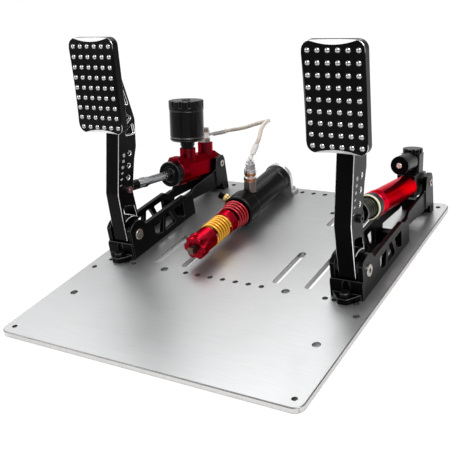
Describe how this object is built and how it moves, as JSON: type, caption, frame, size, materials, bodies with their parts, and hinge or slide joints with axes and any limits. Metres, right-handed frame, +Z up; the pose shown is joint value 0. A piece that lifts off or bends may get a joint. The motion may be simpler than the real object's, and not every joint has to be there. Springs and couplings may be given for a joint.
{
  "type": "sim racing pedal set",
  "caption": "Racing pedal set with a studded brake and throttle on a drilled base plate, with master cylinder, reservoir, hose, sprung load cylinder and damper.",
  "frame": {"origin": "centre of the base plate's underside", "axes": "+X to the driver's right, +Y away from the driver, +Z up"},
  "size_m": [0.433, 0.501, 0.3247],
  "materials": {
    "plate": "brushed, clear",
    "black_anodised": "satin black anodised",
    "black_fitting": "black anodised, machined",
    "pad_black": "black anodised with polished scoops",
    "stud_chrome": "polished",
    "bolt_steel": "bright",
    "dark_bolt": "black oxide",
    "rod_chrome": "ground",
    "red_anodised": "red anodised",
    "gold_wire": "gold powder coat",
    "red_wire": "red powder coat",
    "dark_wire": "dark spring steel",
    "copper": "copper and brass sealing rings",
    "sensor_brass": "brass with a black plug",
    "reservoir_plastic": "satin black",
    "cream_ring": "smooth",
    "hose_braid": "braided under a clear sleeve",
    "bracket_aluminium": "machined",
    "steel_fitting": "plated"
  },
  "bodies": {
    "base": {"base_plate": "plate", "brake_wall_left": "black_anodised", "brake_wall_right": "black_anodised", "brake_foot_block": "black_anodised", "throttle_wall_left": "black_anodised", "throttle_wall_right": "black_anodised", "throttle_foot_block": "black_anodised", "tie_blocks": "black_anodised", "pivot_bolts": "bolt_steel", "pivot_spacers": "black_fitting", "rear_pins": "bolt_steel", "foot_bolts": "dark_bolt", "slave_body": "black_fitting", "slave_collar": "black_fitting", "slave_bracket": "bracket_aluminium", "bracket_bolts": "dark_bolt", "slave_port_hex": "steel_fitting", "slave_port_washers": "copper", "slave_port_nut": "steel_fitting", "pressure_sensor": "sensor_brass", "hose_sleeve": "steel_fitting", "brake_hose": "hose_braid", "slave_spring_red": "red_wire"},
    "brake_pedal": {"brake_arm": "black_anodised", "brake_pad": "pad_black", "brake_pad_studs": "stud_chrome", "brake_linkage_bolt": "bolt_steel", "brake_ball": "bolt_steel"},
    "throttle_pedal": {"throttle_arm": "black_anodised", "throttle_pad": "pad_black", "throttle_pad_studs": "stud_chrome", "throttle_linkage_bolt": "bolt_steel", "throttle_ball": "bolt_steel"},
    "master_cylinder": {"master_cap": "black_fitting", "master_body": "red_anodised", "master_adapter": "steel_fitting", "banjo_washers": "copper", "banjo_bolt": "steel_fitting", "brake_banjo": "steel_fitting", "reservoir_neck": "reservoir_plastic", "reservoir_body": "reservoir_plastic"},
    "reservoir_lid": {"reservoir_cap": "reservoir_plastic"},
    "push_rod": {"brake_rod_end": "black_fitting", "brake_jam_nut": "rod_chrome", "brake_push_rod": "rod_chrome", "master_piston": "rod_chrome"},
    "load_rod": {"slave_rod": "rod_chrome", "slave_seat": "red_anodised"},
    "load_knob": {"slave_knob": "red_anodised"},
    "load_divider": {"slave_divider": "red_anodised", "slave_spring_gold": "gold_wire"},
    "damper": {"damper_ring": "cream_ring", "damper_collar": "black_fitting", "damper_tube": "red_anodised", "damper_block": "black_fitting", "damper_canister": "black_fitting", "damper_spring": "dark_wire"},
    "damper_rod": {"damper_rod_end": "black_fitting", "damper_rod": "rod_chrome"},
    "damper_knob": {"damper_knob": "black_fitting"}
  },
  "joints": [
    {"name": "brake_swing", "type": "hinge", "parent": "base", "child": "brake_pedal", "pos_m": [-0.1768, -0.0185, 0.0404], "axis": [-1, 0, 0], "range_deg": [0, 10], "stiffness_Nm_per_rad": 150, "springref_deg": -2.86},
    {"name": "master_swing", "type": "hinge", "parent": "base", "child": "master_cylinder", "pos_m": [-0.1768, 0.2179, 0.0555], "axis": [1, 0, 0], "range_deg": [-0.2, 0.2], "deforming": ["brake_hose"]},
    {"name": "push_rod_slide", "type": "slide", "parent": "master_cylinder", "child": "push_rod", "axis": [0, 0.9757, -0.2192], "range_m": [0, 0.0125]},
    {"name": "reservoir_lid_turn", "type": "hinge", "parent": "master_cylinder", "child": "reservoir_lid", "pos_m": [-0.1768, 0.16666, 0.12851], "axis": [0, 0.2192, 0.9757], "continuous": true},
    {"name": "load_rod_slide", "type": "slide", "parent": "base", "child": "load_rod", "axis": [0, 1, 0], "range_m": [0, 0.0085], "deforming": ["slave_spring_gold"]},
    {"name": "load_divider_slide", "type": "slide", "parent": "base", "child": "load_divider", "axis": [0, 1, 0], "range_m": [0, 0.003], "deforming": ["slave_spring_red"]},
    {"name": "load_knob_turn", "type": "hinge", "parent": "load_rod", "child": "load_knob", "pos_m": [-0.054, -0.0235, 0.036], "axis": [0, -1, 0], "continuous": true},
    {"name": "throttle_swing", "type": "hinge", "parent": "base", "child": "throttle_pedal", "pos_m": [0.1768, -0.0185, 0.0404], "axis": [-1, 0, 0], "range_deg": [0, 16], "stiffness_Nm_per_rad": 14, "springref_deg": -6.88},
    {"name": "damper_swing", "type": "hinge", "parent": "base", "child": "damper", "pos_m": [0.1768, 0.2179, 0.0555], "axis": [1, 0, 0], "range_deg": [-0.3, 0.3]},
    {"name": "damper_rod_slide", "type": "slide", "parent": "damper", "child": "damper_rod", "axis": [0, 0.976, -0.2178], "range_m": [0, 0.0195], "deforming": ["damper_spring"]},
    {"name": "damper_knob_turn", "type": "hinge", "parent": "damper", "child": "damper_knob", "pos_m": [0.1768, 0.21106, 0.10518], "axis": [0, 0.2178, 0.976], "continuous": true}
  ],
  "couplings": [
    {"joint": "master_swing", "follows": "brake_swing", "ratio": -0.006},
    {"joint": "push_rod_slide", "follows": "brake_swing", "m_per_rad": 0.0667},
    {"joint": "load_rod_slide", "follows": "brake_swing", "m_per_rad": 0.0458},
    {"joint": "load_divider_slide", "follows": "brake_swing", "m_per_rad": 0.0143},
    {"joint": "damper_swing", "follows": "throttle_swing", "ratio": -0.006},
    {"joint": "damper_rod_slide", "follows": "throttle_swing", "m_per_rad": 0.0666}
  ]
}
